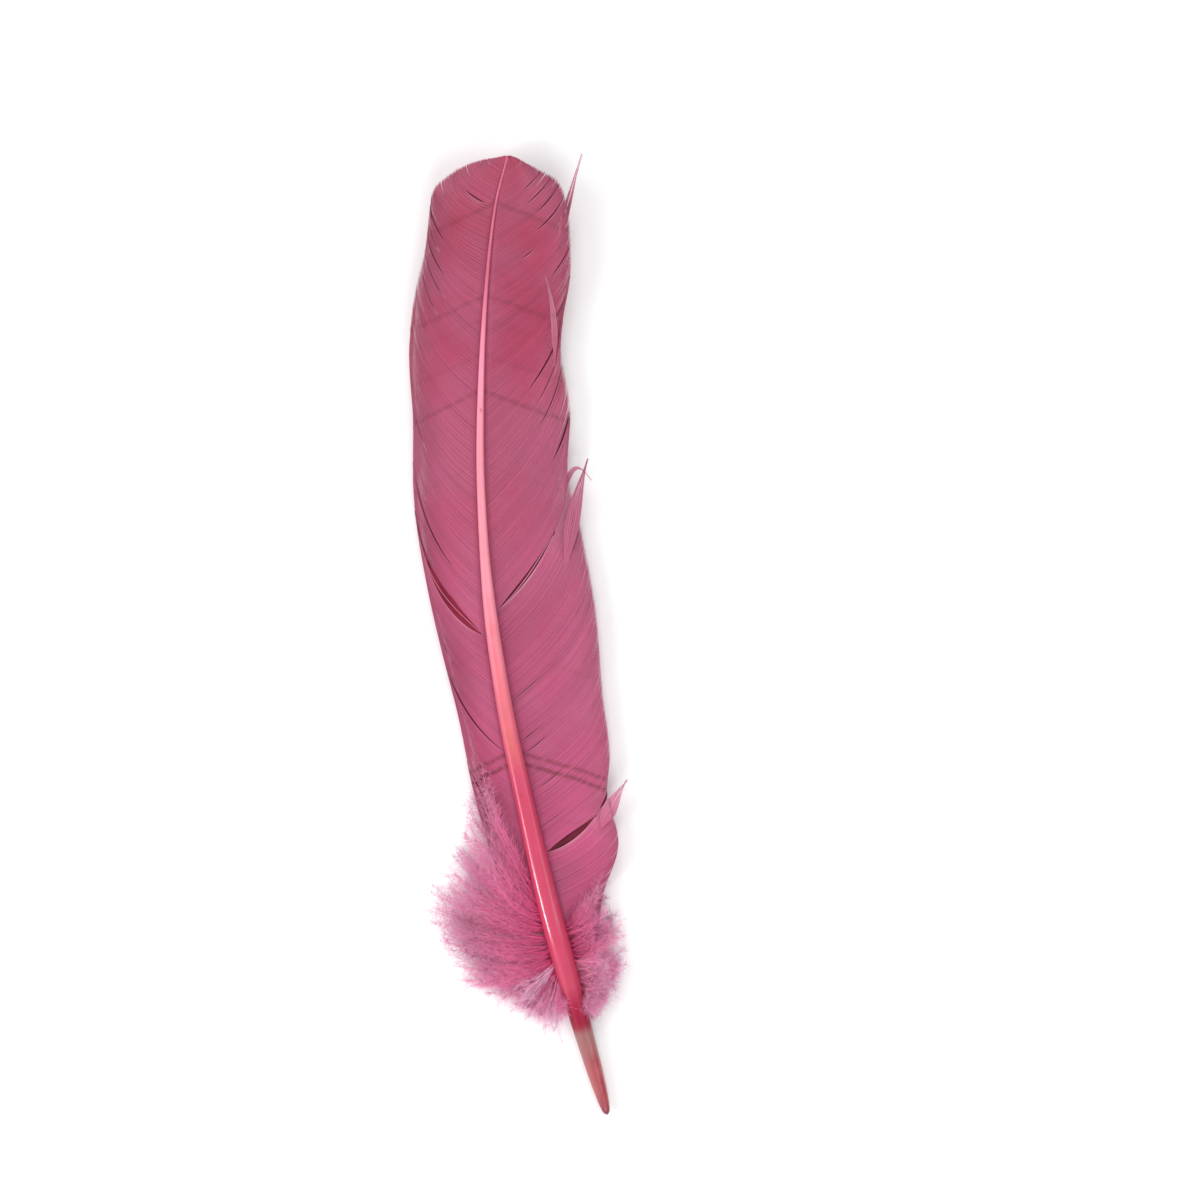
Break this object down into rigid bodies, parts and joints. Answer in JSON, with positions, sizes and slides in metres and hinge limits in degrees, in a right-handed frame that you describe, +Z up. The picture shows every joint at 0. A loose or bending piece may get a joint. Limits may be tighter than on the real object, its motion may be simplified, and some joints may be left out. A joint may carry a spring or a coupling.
{
  "type": "turkey wing feather",
  "caption": "Dyed wing feather lying on its back: a tapering quill, two vanes parted between their barbs, and a tuft of down.",
  "frame": {"origin": "below the middle of the feather's box, on the surface that it lies on", "axes": "+Y along the quill's chord from its lower end to the tip, +Z up, out of the grooved under side of the feather, and +X towards the wider vane"},
  "size_m": [0.0699, 0.301, 0.0143],
  "materials": {
    "vane": "matte",
    "quill": "satin",
    "down": "matte"
  },
  "bodies": {
    "root": {"feather": "vane"}
  },
  "joints": []
}
